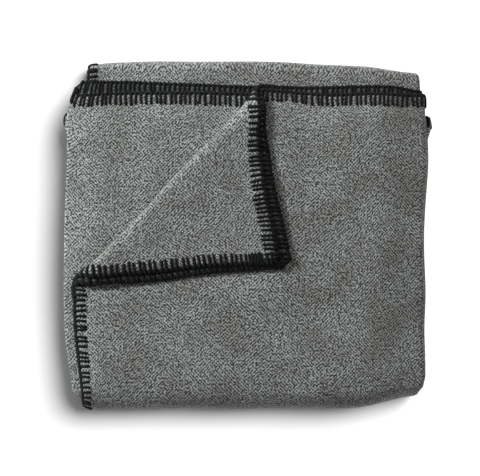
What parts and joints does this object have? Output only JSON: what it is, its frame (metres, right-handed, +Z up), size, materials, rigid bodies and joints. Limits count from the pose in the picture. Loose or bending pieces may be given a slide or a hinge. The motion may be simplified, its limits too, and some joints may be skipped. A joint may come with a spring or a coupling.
{
  "type": "camp blanket",
  "caption": "Folded wool blanket with blanket-stitched edges and one top corner turned back.",
  "frame": {"origin": "centre of the folded pack's box, on the surface that it lies on", "axes": "+Z up through the pack, +Y towards the open ends of the upper layers, +X towards the pack's outer side fold, away from the side hems"},
  "size_m": [0.428, 0.414, 0.0608],
  "materials": {
    "wool_cloth": "mid-grey wool woven in a fine zigzag of light and charcoal yarns, matt and slightly hairy",
    "edging_yarn": "near-black twisted wool yarn"
  },
  "bodies": {
    "lower_half": {"third_layer": "wool_cloth", "third_layer_side_edging_a": "edging_yarn", "third_layer_side_edging_b": "edging_yarn", "fourth_layer": "wool_cloth", "fourth_layer_side_edging_a": "edging_yarn", "fourth_layer_side_edging_b": "edging_yarn", "near_outer_fold": "wool_cloth", "near_outer_fold_side_edging_a": "edging_yarn", "near_outer_fold_side_edging_b": "edging_yarn", "near_inner_fold": "wool_cloth", "near_inner_fold_side_edging_a": "edging_yarn", "near_inner_fold_side_edging_b": "edging_yarn", "far_fold": "wool_cloth", "far_fold_side_edging_a": "edging_yarn", "far_fold_side_edging_b": "edging_yarn"},
    "upper_half": {"first_layer": "wool_cloth", "first_layer_side_edging_a": "edging_yarn", "first_layer_side_edging_b": "edging_yarn", "second_layer": "wool_cloth", "second_layer_side_edging_a": "edging_yarn", "second_layer_side_edging_b": "edging_yarn", "first_layer_end_edging": "edging_yarn", "second_layer_end_edging": "edging_yarn", "crease_roll_inner": "wool_cloth", "crease_roll_outer": "wool_cloth"},
    "turned_corner": {"corner_ply_a": "wool_cloth", "corner_edging_a": "edging_yarn", "corner_ply_b": "wool_cloth", "corner_edging_b": "edging_yarn"}
  },
  "joints": [
    {"name": "upper_half_open", "type": "hinge", "parent": "lower_half", "child": "upper_half", "pos_m": [0, -0.18, 0.027], "axis": [1, 0, 0], "range_deg": [0, 170], "deforming": ["near_outer_fold", "near_outer_fold_side_edging_a", "near_outer_fold_side_edging_b", "near_inner_fold", "near_inner_fold_side_edging_a", "near_inner_fold_side_edging_b"]},
    {"name": "corner_turn", "type": "hinge", "parent": "upper_half", "child": "turned_corner", "pos_m": [-0.083, 0.046, 0.0542], "axis": [-0.6887, -0.725, 0], "range_deg": [0, 178], "deforming": ["crease_roll_inner", "crease_roll_outer"]}
  ]
}
